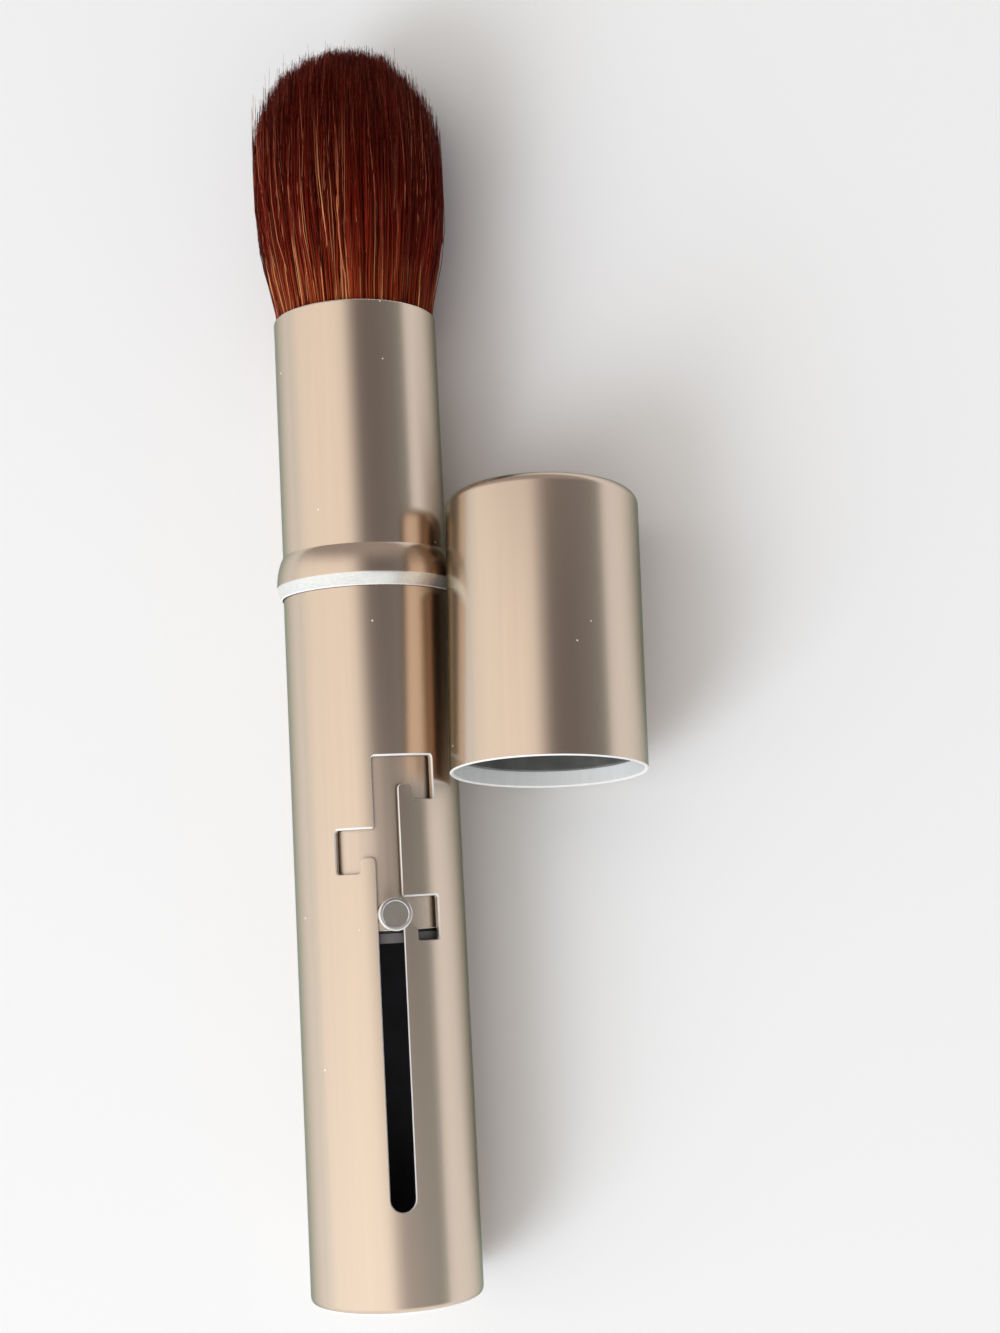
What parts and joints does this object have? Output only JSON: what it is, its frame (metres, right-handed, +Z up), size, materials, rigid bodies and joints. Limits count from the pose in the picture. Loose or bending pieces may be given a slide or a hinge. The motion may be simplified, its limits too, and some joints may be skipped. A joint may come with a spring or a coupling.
{
  "type": "retractable makeup brush",
  "caption": "Round retractable makeup brush with a slotted metal barrel, a sliding knob, a domed hair tuft and a separate pull-off cap lying beside it.",
  "frame": {"origin": "centre of the box round the brush and its cap, at the height of the table", "axes": "+Y along the brush from its base towards the tuft, +X from the brush towards the cap, +Z up from the table"},
  "size_m": [0.0408, 0.1354, 0.0235],
  "materials": {
    "champagne_aluminium": "satin, anodised champagne",
    "bright_cut_aluminium": "bright, diamond cut",
    "carrier_aluminium": "satin",
    "plug_plastic": "matt",
    "liner_plastic": "moulded",
    "root_resin": "cast glue",
    "band_thread": "twisted thread",
    "brown_hair": "fine hair"
  },
  "bodies": {
    "handle": {"barrel": "champagne_aluminium", "stop_collar": "bright_cut_aluminium"},
    "slider": {"carrier_tube": "carrier_aluminium", "carrier_plug": "plug_plastic", "slide_knob": "bright_cut_aluminium", "tuft_ferrule": "carrier_aluminium", "resin_plug": "root_resin", "knot_band": "band_thread", "tuft": "brown_hair"},
    "cap": {"cap_shell": "champagne_aluminium", "cap_liner": "liner_plastic"}
  },
  "joints": [
    {"name": "brush_slide", "type": "slide", "parent": "handle", "child": "slider", "axis": [0, 1, 0], "range_m": [-0.0283, 0.0147], "deforming": ["tuft"]},
    {"name": "cap_draw", "type": "slide", "parent": "handle", "child": "cap", "axis": [1, 0, 0], "range_m": [0, 0.03]}
  ]
}
